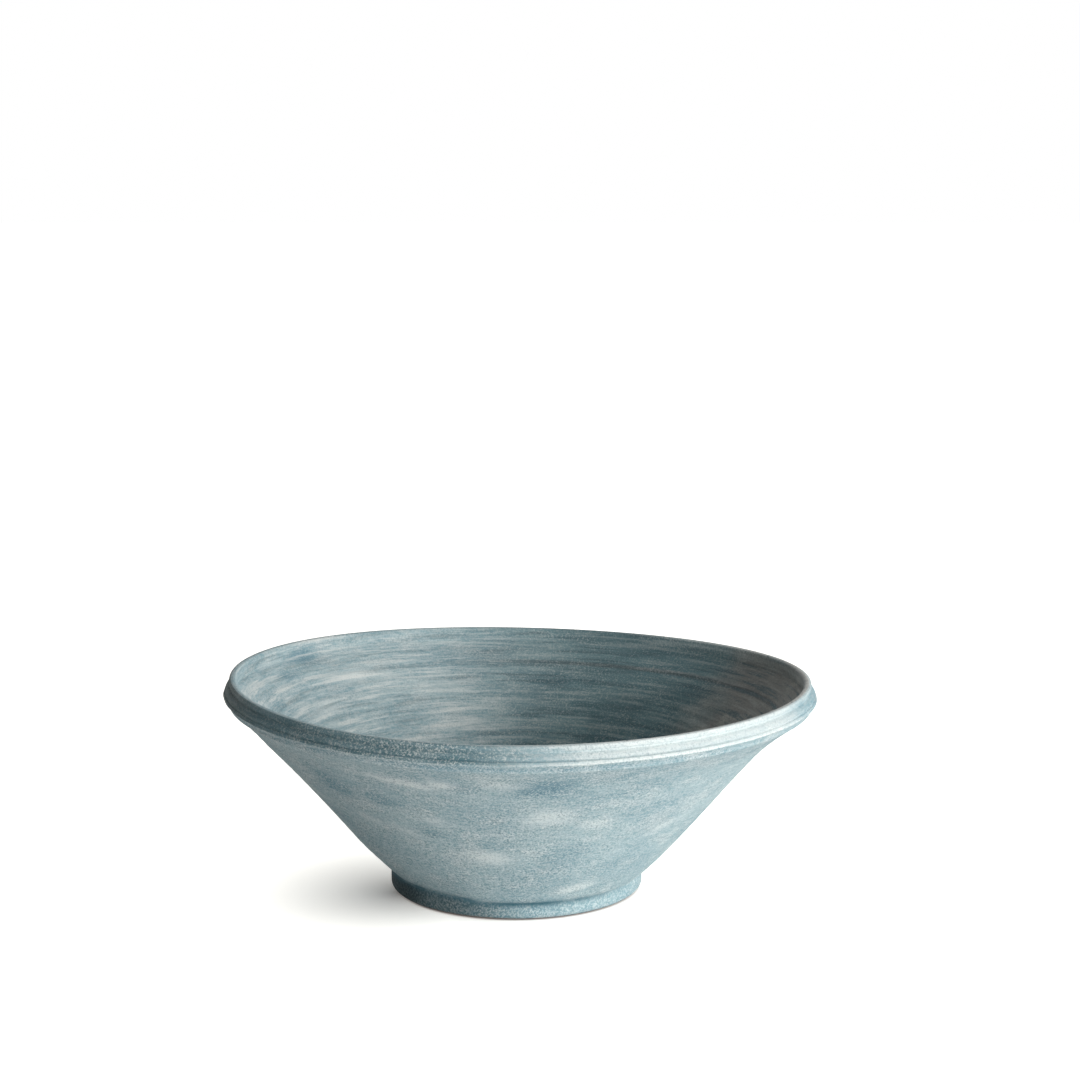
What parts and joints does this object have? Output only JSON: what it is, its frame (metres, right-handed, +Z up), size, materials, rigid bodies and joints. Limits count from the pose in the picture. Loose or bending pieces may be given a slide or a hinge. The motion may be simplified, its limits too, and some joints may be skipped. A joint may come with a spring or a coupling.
{
  "type": "bowl planter",
  "caption": "Wide shallow fired-clay bowl planter on a low foot, with rolled lip and banded rim, blue-grey wash, a lift-out drain plug and felt foot pads.",
  "frame": {"origin": "on the ground, on the bowl's axis, level with the undersides of the pads", "axes": "+Z up along the bowl's axis; the picture was taken from the -Y side, with +X to the right"},
  "size_m": [0.56, 0.56, 0.202],
  "materials": {
    "washed_clay": "unglazed fired clay with a blue-grey wash, matt",
    "plug_rubber": "moulded rubber, satin",
    "pad_felt": "pressed felt"
  },
  "bodies": {
    "bowl": {"bowl": "washed_clay", "foot_pad_right": "pad_felt", "foot_pad_back": "pad_felt", "foot_pad_left": "pad_felt", "foot_pad_front": "pad_felt"},
    "plug": {"drain_plug": "plug_rubber"}
  },
  "joints": [
    {"name": "plug_lift", "type": "slide", "parent": "bowl", "child": "plug", "axis": [0, 0, 1], "range_m": [0, 0.205]}
  ]
}
